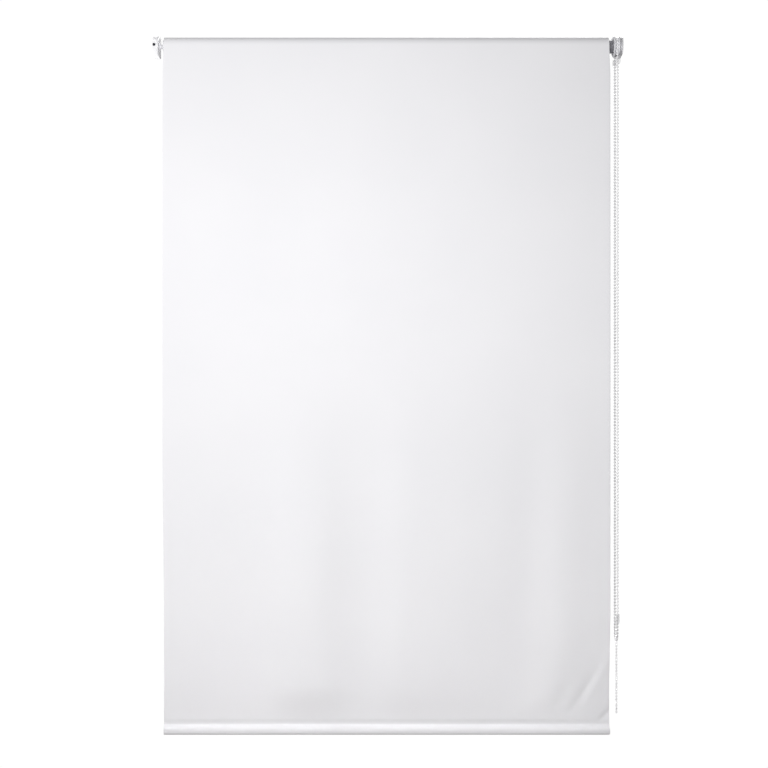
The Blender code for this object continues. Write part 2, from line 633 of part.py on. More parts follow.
def smooth_through(points, samples, closed):
    """Points of a smooth curve through the given ones, with that many samples to each span."""
    count = len(points)
    result = []
    spans = count if closed else count - 1
    for i in range(spans):
        around = []
        for k in (i - 1, i, i + 1, i + 2):
            around.append(points[k % count] if closed else points[min(max(k, 0), count - 1)])
        before, start, end, after = (Vector(p) for p in around)
        reach = (end - start).length
        leave = (end - before).normalized() * reach
        arrive = (after - start).normalized() * reach
        for k in range(samples[i]):
            t = k / samples[i]
            square, cube = t * t, t * t * t
            place = start * (2 * cube - 3 * square + 1) + leave * (cube - 2 * square + t)
            result.append(place + end * (3 * square - 2 * cube) + arrive * (cube - square))
    if not closed:
        result.append(Vector(points[-1]))
    return result


def chain_loop(plastic):
    """The endless chain: over the wheel, down in front, round the foot and up behind."""
    over_wheel = arc((0, 0), PITCH_RADIUS, 0, 180, 12)
    front = [(-PITCH_RADIUS, z) for z in STRAND_HEIGHTS]
    down = [(-share * PITCH_RADIUS, z) for share, z in FOOT_ROUTE]
    foot = down + [(-y, z) for y, z in reversed(down)]
    back = [(PITCH_RADIUS, z) for z in reversed(STRAND_HEIGHTS)]
    route = [(CHAIN_X, y, z) for y, z in over_wheel + front + foot + back]
    samples = [1] * 12 + [1, 2, 3, 3, 3, 3, 2, 2] + [1] * 11 + [2, 2, 3, 3, 3, 3, 2, 1]
    wire("chain_loop", smooth_through(route, samples, True), BEAD_RADIUS, plastic, 2, AXIS, True)


def joiner_half(name, side, clear):
    """One half of the clasp that holds the chain's ends, open along both strands."""
    along = TAIL_SIDE.normalized()
    across = Vector((-along.y, along.x)) * side
    reach = BEAD_RADIUS + BEAD_GAP + JOINER_WALL
    split = SEAT_GAP / 2
    outline = []
    for centre, first in ((Vector((0, 0)), -90), (TAIL_SIDE, 0)):
        for step in range(7):
            angle = math.radians(first + 15 * step)
            outward = split + (reach - split) * math.cos(angle)
            outline.append(tuple(centre + along * reach * math.sin(angle) + across * outward))
    place = AXIS + Vector((CHAIN_X, -PITCH_RADIUS, 0))
    half = prism(name, outline, "Z", JOINER_TOP - JOINER_LENGTH, JOINER_TOP, clear, place)
    for number, centre in enumerate((Vector((0, 0)), TAIL_SIDE)):
        bore = circle(tuple(centre), BEAD_RADIUS + BEAD_GAP, SMALL_SIDES)
        ends = (JOINER_TOP - JOINER_LENGTH - MM, JOINER_TOP + MM)
        cut(half, prism(f"{name}_bore_{number}", bore, "Z", *ends, clear, place))


def chain_tail(plastic):
    """The spare chain past the joiner, hanging straight."""
    place = AXIS + Vector((CHAIN_X + TAIL_SIDE.x, TAIL_SIDE.y - PITCH_RADIUS, 0))
    top = JOINER_TOP - TAIL_START_DEPTH
    count = 14
    points = [(0, 0, top + (TAIL_END - top) * i / count) for i in range(count + 1)]
    wire("chain_tail", points, BEAD_RADIUS, plastic, 2, place)


# ---- Hem and bottom bar ----


def teardrop(radius, top_half, top, shoulder):
    """Section of the hem round the bar: round below, drawn in to a flat seam above."""
    right = [(top_half, top), (top_half, shoulder)]
    reach = math.hypot(top_half, shoulder)
    tangent = math.degrees(math.atan2(shoulder, top_half) - math.acos(radius / reach))
    below = arc((0, 0), radius, tangent, -180 - tangent, 18)
    return right + below + [(-top_half, shoulder), (-top_half, top)]


def hem_pocket(cloth):
    """The cloth sleeve that the bar lies in, open at both ends."""
    top = HEM_TOP - BAR_CENTRE.z
    outer = BAR_RADIUS + SEAT_GAP + HEM_CLOTH
    seam = top - HEM_SEAM_HEIGHT
    section = teardrop(outer, HEM_SEAM_THICKNESS / 2, top, seam)
    body = prism("hem_pocket", section, "X", CLOTH_LEFT, CLOTH_RIGHT, cloth, BAR_CENTRE)
    inner = BAR_RADIUS + SEAT_GAP
    inner_half = (HEM_SEAM_THICKNESS - HEM_CLOTH) / 4
    hollow = teardrop(inner, inner_half, seam - HEM_CLOTH, seam - 2 * HEM_CLOTH)
    cut(body, prism("hem_hollow", hollow, "X", CLOTH_LEFT - MM, CLOTH_RIGHT + MM, cloth, BAR_CENTRE))


def bottom_bar(steel):
    left = CLOTH_LEFT + BAR_SHIFT + BAR_PLUG_HEAD + SEAT_GAP
    right = CLOTH_RIGHT + BAR_SHIFT - BAR_PLUG_HEAD - SEAT_GAP
    bore = BAR_RADIUS - BAR_WALL
    outline = [(left, bore), (left, BAR_RADIUS), (right, BAR_RADIUS), (right, bore)]
    turned("bottom_bar", outline, steel, 32, BAR_CENTRE)


def bar_plug(name, side, plastic):
    """The plastic stopper in one end of the bottom bar."""
    face = side * CLOTH_WIDTH / 2 + BAR_SHIFT
    shoulder = face - side * BAR_PLUG_HEAD
    end = shoulder - side * BAR_PLUG_SHANK
    shank = BAR_RADIUS - BAR_WALL - SEAT_GAP
    outline = [(face, 0), (face, BAR_RADIUS - BAR_PLUG_DOME), (face - side * BAR_PLUG_DOME, BAR_RADIUS)]
    outline += [(shoulder, BAR_RADIUS), (shoulder, shank), (end, shank), (end, 0)]
    turned(name, outline, plastic, SMALL_SIDES, BAR_CENTRE)


def build():
    for obj in list(bpy.data.objects):
        bpy.data.objects.remove(obj)

    white_paint = finish("white_paint", (0.86, 0.86, 0.88), 0.35)
    white_plastic = finish("white_plastic", (0.85, 0.85, 0.88), 0.3)
    clear_plastic = finish("clear_plastic", (0.88, 0.89, 0.95), 0.15, alpha=0.6)
    tube_metal = finish("tube_metal", (0.34, 0.34, 0.36), 0.35, 1.0)
    bar_steel = finish("bar_steel", (0.5, 0.5, 0.52), 0.35, 1.0)
    spring_steel = finish("spring_steel", (0.5, 0.5, 0.52), 0.3, 1.0)
    dark_screw = finish("dark_screw", (0.03, 0.03, 0.035), 0.45, 0.8)
    white_cloth = finish("white_cloth", (0.86, 0.87, 0.88), 0.6)
    tape = finish("tape", (0.8, 0.78, 0.7), 0.5)

    left_bracket(white_paint)
    right_bracket(white_paint)
    wall_screw("wall_screw_left", LEFT_ARM - PLATE - FLANGE_WIDTH + SCREW_EDGE, SCREW_HEIGHT, dark_screw)
    for name, (x, z) in zip(("wall_screw_right_upper", "wall_screw_right_lower"), right_screw_places()):
        wall_screw(name, x, z, dark_screw)
    pin_bush(white_plastic)

    roller_tube(tube_metal)
    cloth_tape(tape)
    wound_cloth(white_cloth)
    cloth_panel(white_cloth)

    idle_plug(white_plastic)
    plug_cap(white_plastic)
    idle_pin(white_plastic)
    idle_spring(spring_steel)

    chain_wheel(white_plastic)
    drive_adaptor(white_plastic)
    second_spring = ADAPTOR_RIGHT - 2 * SPRING_SPACING - SPRING_TURNS * SPRING_PITCH
    first_spring = second_spring - SPRING_SPACING - SPRING_TURNS * SPRING_PITCH
    wrap_spring("wrap_spring_inner", first_spring, spring_steel)
    wrap_spring("wrap_spring_outer", second_spring, spring_steel)
    clutch_mandrel(white_plastic)
    retaining_clip(spring_steel)
    chain_guide(clear_plastic)

    chain_loop(white_plastic)
    joiner_half("joiner_half_front", 1, clear_plastic)
    joiner_half("joiner_half_back", -1, clear_plastic)
    chain_tail(white_plastic)

    hem_pocket(white_cloth)
    bottom_bar(bar_steel)
    bar_plug("bar_plug_left", -1, white_plastic)
    bar_plug("bar_plug_right", 1, white_plastic)


build()
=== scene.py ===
"""The looks of a roller blind: cloth, roll, hem, bead chain, wheel, brackets and inner parts."""

import math
from contextlib import contextmanager

import bpy
import numpy as np
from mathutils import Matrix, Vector


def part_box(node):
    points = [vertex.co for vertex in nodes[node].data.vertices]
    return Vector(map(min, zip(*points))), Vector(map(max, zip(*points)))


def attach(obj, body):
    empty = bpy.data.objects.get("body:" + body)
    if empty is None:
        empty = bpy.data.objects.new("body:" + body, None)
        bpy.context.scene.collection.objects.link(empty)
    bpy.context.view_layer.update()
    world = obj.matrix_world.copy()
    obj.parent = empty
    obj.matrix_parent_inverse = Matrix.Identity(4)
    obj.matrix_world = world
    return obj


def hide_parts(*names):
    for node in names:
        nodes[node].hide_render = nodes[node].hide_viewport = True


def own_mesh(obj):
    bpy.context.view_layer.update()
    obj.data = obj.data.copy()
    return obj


MM = 0.001

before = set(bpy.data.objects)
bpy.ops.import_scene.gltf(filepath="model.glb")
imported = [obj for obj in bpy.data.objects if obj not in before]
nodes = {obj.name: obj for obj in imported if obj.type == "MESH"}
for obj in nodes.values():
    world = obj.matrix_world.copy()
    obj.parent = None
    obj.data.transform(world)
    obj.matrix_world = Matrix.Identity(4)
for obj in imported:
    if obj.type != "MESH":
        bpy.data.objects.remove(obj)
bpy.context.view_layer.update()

# Sizes that the frame also holds
AXIS = Vector((0, -25, 0)) * MM
CLOTH_HALF = 425 * MM
CLOTH_THICKNESS = 0.4 * MM
SEAM_Y = -42.9 * MM
HEM_TOP = -1291.5 * MM
HEM_FOOT = -1315 * MM
BAR_CENTRE = Vector((0, -42.9, -1308.6)) * MM
BAR_RADIUS, BAR_BORE = 5.5 * MM, 4.5 * MM
TUBE_RADIUS, TUBE_BORE = 12.5 * MM, 11.5 * MM
CHAIN_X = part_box("chain_tail")[0].x + (2.25 + 3.0) * MM  # the spare chain hangs 3 mm to its left
PITCH_RADIUS = 15.378 * MM
BEAD_PITCH = 6.0 * MM
BEAD_RADIUS = 2.25 * MM
BEADS_ROUND = 16
WHEEL_RADIUS = 20 * MM
WHEEL_WIDTH = 10.2 * MM
MANDREL_BORE = 5.9 * MM
SLEEVE_OUTER = 9.1 * MM
SLEEVE_BORE = 7.4 * MM


# ---- Camera, light and floor ----


def set_camera():
    data = bpy.data.cameras.new("camera")
    data.sensor_width = 36
    data.lens = 65.36
    camera = bpy.data.objects.new("camera", data)
    camera.location = (-0.0046, -2.7, -0.6467)
    camera.rotation_euler = (math.radians(90), 0, 0)
    bpy.context.scene.collection.objects.link(camera)
    bpy.context.scene.camera = camera


def area_light(name, place, target, size, power, depth=None, spread=180):
    """A soft square light, or a strip when it has a depth, its beam held within a spread."""
    data = bpy.data.lights.new(name, "AREA")
    data.shape = "RECTANGLE"
    data.size = size
    data.size_y = depth or size
    data.spread = math.radians(spread)
    data.energy = power
    light = bpy.data.objects.new(name, data)
    light.location = place
    light.rotation_euler = (Vector(target) - Vector(place)).to_track_quat("-Z", "Y").to_euler()
    bpy.context.scene.collection.objects.link(light)


def set_world():
    world = bpy.data.worlds.new("studio")
    world.use_nodes = True
    tree = world.node_tree
    tree.nodes.clear()
    out = tree.nodes.new("ShaderNodeOutputWorld")
    seen = tree.nodes.new("ShaderNodeBackground")
    lit = tree.nodes.new("ShaderNodeBackground")
    seen.inputs["Color"].default_value = (1, 1, 1, 1)
    seen.inputs["Strength"].default_value = 1.02
    lit.inputs["Color"].default_value = (0.99, 0.985, 1, 1)
    lit.inputs["Strength"].default_value = 0.22
    mix = tree.nodes.new("ShaderNodeMixShader")
    path = tree.nodes.new("ShaderNodeLightPath")
    tree.links.new(path.outputs["Is Camera Ray"], mix.inputs["Fac"])
    tree.links.new(lit.outputs["Background"], mix.inputs[1])
    tree.links.new(seen.outputs["Background"], mix.inputs[2])
    tree.links.new(mix.outputs["Shader"], out.inputs["Surface"])
    bpy.context.scene.world = world
    bpy.context.scene.view_settings.view_transform = "Standard"


def set_floor():
    bpy.ops.object.select_all(action="DESELECT")
    bpy.ops.mesh.primitive_plane_add(size=1, location=(0, -0.35, -2.3))
    floor = bpy.context.object
    floor.name = "studio_floor"
    floor.scale = (3.2, 2.2, 1)
    bpy.ops.object.transform_apply(location=True, rotation=True, scale=True)
    material = bpy.data.materials.new("studio_floor")
    material.use_nodes = True
    shader = material.node_tree.nodes["Principled BSDF"]
    shader.inputs["Base Color"].default_value = (0.76, 0.72, 0.7, 1)
    shader.inputs["Roughness"].default_value = 0.8
    floor.data.materials.append(material)


MIDDLE = (0, 0, -0.6)
LIGHTS = (
    # name, place, target, size and power; for a strip also its depth and its spread in degrees
    ("key_high", (-2.0, -0.8, 0.4), MIDDLE, 1.0, 13.3),
    ("key_low", (-2.0, -0.8, -0.3), MIDDLE, 1.0, 4.8),
    ("front", (-0.16, -1.6, -0.46), MIDDLE, 1.0, 19.3),
    ("foot", (0, -0.6, 0.3), (0, -0.045, -1.31), 1.0, 0.17, 0.08, 16),
    ("back", (0.5, 2.0, 1.2), MIDDLE, 1.2, 36),
)

set_camera()
set_world()
for light in LIGHTS:
    area_light(*light)
set_floor()


# ---- Materials ----


class Finish:
    """A material under construction: nodes are added and joined to the shader's sockets."""

    def __init__(self, name, colour, roughness, metallic=0.0):
        self.material = bpy.data.materials.new(name)
        self.material.use_nodes = True
        self.tree = self.material.node_tree
        self.shader = self.tree.nodes["Principled BSDF"]
        self.shader.inputs["Base Color"].default_value = (*colour, 1)
        self.shader.inputs["Roughness"].default_value = roughness
        self.shader.inputs["Metallic"].default_value = metallic
        self.place = self.tree.nodes.new("ShaderNodeTexCoord").outputs["Object"]

    def stretched(self, scale):
        mapping = self.tree.nodes.new("ShaderNodeMapping")
        mapping.inputs["Scale"].default_value = scale
        self.tree.links.new(self.place, mapping.inputs["Vector"])
        return mapping.outputs["Vector"]

    def noise(self, scale, detail, stretch=(1, 1, 1)):
        node = self.tree.nodes.new("ShaderNodeTexNoise")
        node.inputs["Scale"].default_value = scale
        node.inputs["Detail"].default_value = detail
        self.tree.links.new(self.stretched(stretch), node.inputs["Vector"])
        return node.outputs["Fac"]

    def wave(self, direction, scale):
        node = self.tree.nodes.new("ShaderNodeTexWave")
        node.bands_direction = direction
        node.inputs["Scale"].default_value = scale
        self.tree.links.new(self.place, node.inputs["Vector"])
        return node.outputs["Fac"]

    def sum(self, first, second, share):
        node = self.tree.nodes.new("ShaderNodeMix")
        node.inputs["Factor"].default_value = share
        self.tree.links.new(first, node.inputs["A"])
        self.tree.links.new(second, node.inputs["B"])
        return node.outputs["Result"]

    def colour_from(self, value, low, high):
        """Runs the colour from low to high over the middle of the value's range."""
        node = self.tree.nodes.new("ShaderNodeValToRGB")
        for stop, position, colour in zip(node.color_ramp.elements, (0.3, 0.7), (low, high)):
            stop.position = position
            stop.color = (*colour, 1)
        self.tree.links.new(value, node.inputs["Fac"])
        self.tree.links.new(node.outputs["Color"], self.shader.inputs["Base Color"])

    def roughness_from(self, value, low, high):
        node = self.tree.nodes.new("ShaderNodeMapRange")
        node.inputs["To Min"].default_value = low
        node.inputs["To Max"].default_value = high
        self.tree.links.new(value, node.inputs["Value"])
        self.tree.links.new(node.outputs["Result"], self.shader.inputs["Roughness"])

    def bump_from(self, height, distance, strength):
        node = self.tree.nodes.new("ShaderNodeBump")
        node.inputs["Distance"].default_value = distance
        node.inputs["Strength"].default_value = strength
        self.tree.links.new(height, node.inputs["Height"])
        self.tree.links.new(node.outputs["Normal"], self.shader.inputs["Normal"])

    def set(self, **values):
        for name, value in values.items():
            self.shader.inputs[name.replace("_", " ")].default_value = value
        return self.material


def blackout_cloth():
    """Smooth coated cloth: a fine plain weave under the coat, soft clouds and a slight sheen."""
    finish = Finish("white_cloth", (0.86, 0.858, 0.87), 0.6)
    threads = finish.sum(finish.wave("X", 500), finish.wave("Z", 500), 0.5)
    clouds = finish.noise(5, 4)
    finish.colour_from(clouds, (0.848, 0.846, 0.867), (0.868, 0.865, 0.884))
    finish.bump_from(finish.sum(threads, finish.noise(900, 2), 0.35), 0.04 * MM, 0.35)
    finish.roughness_from(finish.noise(40, 3), 0.5, 0.66)
    return finish.set(Sheen_Weight=0.12, Sheen_Roughness=0.4, Specular_IOR_Level=0.35)


def powder_coat():
    finish = Finish("white_paint", (0.94, 0.94, 0.955), 0.36)
    finish.colour_from(finish.noise(120, 3), (0.93, 0.93, 0.945), (0.955, 0.955, 0.965))
    finish.bump_from(finish.noise(1600, 2), 0.03 * MM, 0.5)
    finish.roughness_from(finish.noise(400, 2), 0.3, 0.45)
    return finish.set(Coat_Weight=0.2, Coat_Roughness=0.15)


def moulded_plastic(name, colour, shade):
    """Injection-moulded plastic, with faint flow marks and a fine satin skin."""
    finish = Finish(name, colour, 0.3)
    finish.colour_from(finish.noise(90, 3, (1, 1, 0.4)), shade, colour)
    finish.bump_from(finish.noise(1200, 2), 0.01 * MM, 0.3)
    finish.roughness_from(finish.noise(300, 3), 0.26, 0.4)
    return finish.set(Specular_IOR_Level=0.45)


def clear_plastic():
    finish = Finish("clear_plastic", (0.97, 0.97, 0.985), 0.25)
    finish.colour_from(finish.noise(160, 2), (0.955, 0.955, 0.975), (0.98, 0.98, 0.99))
    finish.bump_from(finish.noise(700, 2), 0.03 * MM, 0.4)
    finish.roughness_from(finish.noise(260, 2), 0.18, 0.32)
    return finish.set(Alpha=0.24, IOR=1.4)


def drawn_metal(name, dark, light, low, high, streak=(0.02, 1, 1)):
    """Drawn metal, with fine streaks along its length."""
    finish = Finish(name, light, 0.35, 1.0)
    streaks = finish.noise(700, 4, streak)
    finish.colour_from(finish.sum(streaks, finish.noise(60, 4), 0.35), dark, light)
    finish.bump_from(streaks, 0.03 * MM, 0.35)
    finish.roughness_from(finish.noise(220, 3, streak), low, high)
    return finish.material


def spring_wire():
    finish = Finish("spring_wire", (0.55, 0.55, 0.57), 0.28, 1.0)
    finish.colour_from(finish.noise(500, 4), (0.42, 0.42, 0.44), (0.62, 0.62, 0.64))
    finish.bump_from(finish.noise(1800, 3), 0.02 * MM, 0.4)
    finish.roughness_from(finish.noise(800, 2), 0.2, 0.4)
    return finish.material


def black_oxide():
    finish = Finish("black_oxide", (0.05, 0.05, 0.055), 0.42, 0.85)
    finish.colour_from(finish.noise(900, 4), (0.02, 0.02, 0.024), (0.09, 0.09, 0.1))
    finish.bump_from(finish.noise(2600, 3), 0.03 * MM, 0.5)
    finish.roughness_from(finish.noise(700, 2), 0.32, 0.55)
    return finish.material


def sticky_tape():
    finish = Finish("sticky_tape", (0.78, 0.74, 0.62), 0.45)
    finish.colour_from(finish.noise(140, 4, (0.2, 1, 1)), (0.72, 0.67, 0.53), (0.83, 0.8, 0.7))
    finish.bump_from(finish.noise(900, 3), 0.04 * MM, 0.5)
    finish.roughness_from(finish.noise(260, 2), 0.3, 0.6)
    return finish.material


CLOTH = blackout_cloth()
PAINT = powder_coat()
WHITE = moulded_plastic("white_plastic", (0.93, 0.93, 0.955), (0.885, 0.885, 0.92))
BEAD = moulded_plastic("bead_plastic", (0.975, 0.975, 0.98), (0.945, 0.945, 0.955))
CLEAR = clear_plastic()
TUBE = drawn_metal("tube_metal", (0.3, 0.3, 0.32), (0.46, 0.46, 0.48), 0.3, 0.5)
ZINC = drawn_metal("bar_steel", (0.42, 0.42, 0.44), (0.6, 0.6, 0.62), 0.28, 0.45)
WIRE = spring_wire()
OXIDE = black_oxide()
TAPE = sticky_tape()


# ---- Ways of working ----


# How near to each other, in metres, points are merged
SEAM_REACH = 0.00001  # where a lathed ring closes
FRAME_REACH = 0.000005  # the doubled points of a frame piece
ROUNDED_REACH = 0.000002  # what rounding a frame piece's edges leaves
SPECK = 0.0000001  # faces and edges no larger than this go


def deselect():
    if bpy.context.object and bpy.context.object.mode != "OBJECT":
        bpy.ops.object.mode_set(mode="OBJECT")
    bpy.ops.object.select_all(action="DESELECT")


def pick(piece):
    deselect()
    piece.select_set(True)
    bpy.context.view_layer.objects.active = piece


@contextmanager
def edited(piece):
    """Holds a piece in edit mode, with all of it selected at the start."""
    pick(piece)
    bpy.ops.object.mode_set(mode="EDIT")
    bpy.ops.mesh.select_all(action="SELECT")
    yield
    bpy.ops.object.mode_set(mode="OBJECT")


def settle(piece, name, material, body, replaced, angle=35):
    """Names a piece, puts its place in its mesh, gives it a material and sets it on its body."""
    pick(piece)
    bpy.ops.object.transform_apply(location=True, rotation=True, scale=True)
    piece.name = name
    piece.data.name = name
    piece.data.materials.clear()
    piece.data.materials.append(material)
    bpy.ops.object.shade_smooth_by_angle(angle=math.radians(angle))
    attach(piece, body)
    if replaced:
        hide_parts(*replaced)
    return piece


def face_out(piece):
    with edited(piece):
        bpy.ops.mesh.normals_make_consistent(inside=False)


def in_order(piece):
    """Numbers a piece's points and faces by their places; a new piece has them in any order."""
    points = [tuple(vertex.co) for vertex in piece.data.vertices]
    order = sorted(range(len(points)), key=lambda i: ([round(c, 7) for c in points[i]], points[i]))
    number = {old: new for new, old in enumerate(order)}
    faces = []
    for polygon in piece.data.polygons:
        face = [number[i] for i in polygon.vertices]
        first = face.index(min(face))
        faces.append(face[first:] + face[:first])
    piece.data.clear_geometry()
    piece.data.from_pydata([points[i] for i in order], [], sorted(faces))
    piece.data.update()


def modify(piece, kind, **values):
    """Adds a modifier and applies it."""
    pick(piece)
    modifier = piece.modifiers.new(kind.lower(), kind)
    for name, value in values.items():
        setattr(modifier, name, value)
    bpy.ops.object.modifier_apply(modifier=modifier.name)


def lathe(outline, sides, centre, closed=True):
    """A ring about the X direction, drawn out and scaled from one (x, radius) to the next.

    A closed outline comes back to its start and leaves a bore; an open one has flat ends.
    """
    deselect()
    x, radius = outline[0]
    bpy.ops.mesh.primitive_circle_add(
        vertices=sides,
        radius=radius,
        location=(x, centre.y, centre.z),
        rotation=(0, math.pi / 2, 0),
        fill_type="NOTHING" if closed else "NGON",
    )
    piece = bpy.context.object
    with edited(piece):
        for next_x, next_radius in outline[1:] + (outline[:1] if closed else []):
            bpy.ops.mesh.extrude_region_move(TRANSFORM_OT_translate={"value": (next_x - x, 0, 0)})
            share = next_radius / radius
            middle = (next_x, centre.y, centre.z)
            bpy.ops.transform.resize(value=(1, share, share), center_override=middle)
            x, radius = next_x, next_radius
        if closed:
            bpy.ops.mesh.select_all(action="SELECT")
            bpy.ops.mesh.remove_doubles(threshold=SEAM_REACH)
    face_out(piece)
    in_order(piece)
    return piece


def softened(node, bevel, segments=2):
    """A copy of a frame piece with its doubled points merged and its edges rounded."""
    deselect()
    piece = nodes[node].copy()
    piece.data = nodes[node].data.copy()
    piece.parent = None
    for key in list(piece.keys()):
        del piece[key]
    bpy.context.scene.collection.objects.link(piece)
    with edited(piece):
        bpy.ops.mesh.remove_doubles(threshold=FRAME_REACH)
        bpy.ops.mesh.dissolve_limited(angle_limit=math.radians(1))
    modify(
        piece,
        "BEVEL",
        width=bevel,
        segments=segments,
        limit_method="ANGLE",
        angle_limit=math.radians(38),
        use_clamp_overlap=True,
        harden_normals=False,
    )
    with edited(piece):
        bpy.ops.mesh.remove_doubles(threshold=ROUNDED_REACH)
        bpy.ops.mesh.dissolve_degenerate(threshold=SPECK)
    return piece


def carve(piece, cutter):
    """Cuts the cutter from the piece and throws the cutter away."""
    modify(piece, "BOOLEAN", object=cutter, operation="DIFFERENCE", solver="EXACT")
    bpy.data.objects.remove(cutter)
    in_order(piece)


def mesh_piece(name, points, faces):
    mesh = bpy.data.meshes.new(name)
    mesh.from_pydata([tuple(p) for p in points], [], faces)
    mesh.update()
    piece = bpy.data.objects.new(name, mesh)
    bpy.context.scene.collection.objects.link(piece)
    return piece


# ---- Bead chain ----

# The chain's route below the roller's axis, in millimetres: heights of the straight strands, then
# the turn at the foot as shares of the strands' distance from the axis and heights
STRAND_HEIGHTS = (-30, -120, -300, -500, -700, -900, -1040, -1100)
FOOT_ROUTE = ((1.0, -1121), (0.95, -1126.5), (0.78, -1131.4), (0.51, -1135.2), (0.175, -1137.1))
LOOP_START = -1095 * MM  # inside the clasp
HALF_PITCH = BEAD_PITCH / 2
CURVE_STEP = 0.5 * MM  # spacing of the fine points that a smooth line is measured along


def loop_route():
    """The whole chain round, beginning and ending inside the clasp on the front strand."""
    radius = PITCH_RADIUS
    front_low = [(-radius, LOOP_START)] + [(-radius * share, z * MM) for share, z in FOOT_ROUTE]
    rise = [(radius * share, z * MM) for share, z in reversed(FOOT_ROUTE)]
    back = [(radius, z * MM) for z in reversed(STRAND_HEIGHTS)]
    over = [(radius * math.cos(a), radius * math.sin(a)) for a in np.linspace(0, math.pi, 25)]
    front = [(-radius, z * MM) for z in STRAND_HEIGHTS[:-1]]
    route = front_low + rise + back + over + front + [(-radius, LOOP_START)]
    return [Vector((CHAIN_X, AXIS.y + y, AXIS.z + z)) for y, z in route]


def smooth_line(route, step):
    """Points about a step apart on a smooth curve through the route."""
    fine = []
    for i in range(len(route) - 1):
        start, end = route[i], route[i + 1]
        reach = (end - start).length
        leave = ((end - route[max(i - 1, 0)]).normalized()) * reach
        arrive = ((route[min(i + 2, len(route) - 1)] - start).normalized()) * reach
        count = max(2, math.ceil(reach / CURVE_STEP))
        for k in range(count):
            t = k / count
            square, cube = t * t, t * t * t
            place = start * (2 * cube - 3 * square + 1) + leave * (cube - 2 * square + t)
            fine.append(place + end * (3 * square - 2 * cube) + arrive * (cube - square))
    fine.append(route[-1])
    line = np.array(fine)
    along = np.concatenate([[0], np.cumsum(np.linalg.norm(np.diff(line, axis=0), axis=1))])
    at = np.linspace(0, along[-1], round(along[-1] / step) + 1)
    return np.stack([np.interp(at, along, line[:, k]) for k in range(3)], axis=1)


def bead_shape():
    """One bead, with its poles along Z, as points and faces."""
    deselect()
    bpy.ops.mesh.primitive_uv_sphere_add(segments=8, ring_count=6, radius=BEAD_RADIUS)
    bead = bpy.context.object
    in_order(bead)
    points = np.array([v.co for v in bead.data.vertices])
    faces = [tuple(p.vertices) for p in bead.data.polygons]
    bpy.data.objects.remove(bead)
    return points, faces


def turned_to(direction):
    """The rotation that carries Z to a direction."""
    return np.array(Vector(direction).to_track_quat("Z", "X").to_matrix())


def strung_beads(name, line):
    """Beads on a thread along a line of points half a pitch apart: a bead at every second point."""
    bead_points, bead_faces = bead_shape()
    points, faces = [], []
    around, thread_radius = 6, 0.65 * MM
    tangents = np.gradient(line, axis=0)
    for i, (place, tangent) in enumerate(zip(line, tangents)):
        rotation = turned_to(tangent)
        ring = [
            place + rotation @ (thread_radius * np.array([math.cos(a), math.sin(a), 0]))
            for a in np.arange(around) * 2 * math.pi / around
        ]
        first = len(points)
        points.extend(ring)
        if i:
            last = first - around
            for k in range(around):
                after = (k + 1) % around
                faces.append((last + k, last + after, first + after, first + k))
        else:
            faces.append(tuple(first + k for k in reversed(range(around))))
    faces.append(tuple(first + k for k in range(around)))
    for place, tangent in zip(line[1::2], tangents[1::2]):
        first = len(points)
        points.extend(place + bead_points @ turned_to(tangent).T)
        faces.extend(tuple(first + k for k in face) for face in bead_faces)
    return mesh_piece(name, points, faces)


loop_line = smooth_line(loop_route(), HALF_PITCH)
count = len(loop_line)
if count % 2 == 0:  # one step fewer, so that bead and gap take turns all the way round
    loop_line = smooth_line(loop_route(), HALF_PITCH * (count - 1) / (count - 2))
loop_line = loop_line[:-1]
loop_length = float(np.linalg.norm(np.diff(loop_line, axis=0), axis=1).sum())

tail_low, tail_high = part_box("chain_tail")
tail_x, tail_y = (tail_low.x + tail_high.x) / 2, (tail_low.y + tail_high.y) / 2
tail_heights = np.arange(tail_high.z, tail_low.z + 0.5 * MM, -HALF_PITCH)
tail_line = np.array([(tail_x, tail_y, z) for z in tail_heights])

for half in ("front", "back"):
    node = "joiner_half_" + half
    clasp = softened(node, 0.5 * MM, 3)
    settle(clasp, "clasp_" + half, CLEAR, "chain_joiner", [node])

beads = strung_beads("bead_loop", loop_line)
settle(beads, "bead_loop", BEAD, "fixed", ["chain_loop"], 80)
spare = strung_beads("bead_tail", tail_line)
settle(spare, "bead_tail", BEAD, "chain_joiner", ["chain_tail"], 80)


# ---- Hanging cloth ----

WRAP_RADIUS = 17.15 * MM  # middle of the outermost layer on the roll
TOP_Y = AXIS.y - WRAP_RADIUS
COLUMNS = (
    # middle, half-width and strength of each soft upright wave in the cloth's lower half
    (-385, 30, 0.3),
    (-300, 42, -0.5),
    (-212, 34, 1.7),
    (-95, 34, -1.6),
    (0, 26, 1.3),
    (62, 20, -0.5),
    (150, 46, -0.4),
    (238, 22, -0.7),
    (300, 26, 1.2),
    (368, 28, -0.8),
)
CREASES = (
    # start, end, half-width and depth of each short fold near the chain side's foot
    ((404, -1291), (430, -1264), 5, 2.2),
    ((352, -1268), (408, -1192), 10, 1.9),
    ((384, -1240), (425, -1168), 9, -1.7),
    ((318, -1272), (352, -1215), 12, 1.4),
    ((250, -1276), (300, -1240), 13, -1.1),
    ((330, -1120), (425, -1085), 13, -0.9),
)
WAVE_SHARE = 0.085  # depth of a wave of strength 1, as a share of its half-width
SEAM_DIP = 0.9  # how far the cloth draws in just above the seam, in millimetres
EDGE_STEPS = (0, 0.7, 1.5, 2.5, 4, 6.5)  # where the cloth's columns lie near its side edges


def eased(value):
    value = np.clip(value, 0, 1)
    return value * value * (3 - 2 * value)


def side_edges(z):
    """How far the left and right edge stand outside the nominal ones at a height, all in mm."""
    flare = 2.0 * eased(-z / 60)
    waist = eased((-z - 760) / 330)
    return flare - 3.2 * waist, flare - 2.6 * eased((-z - 1060) / 180)


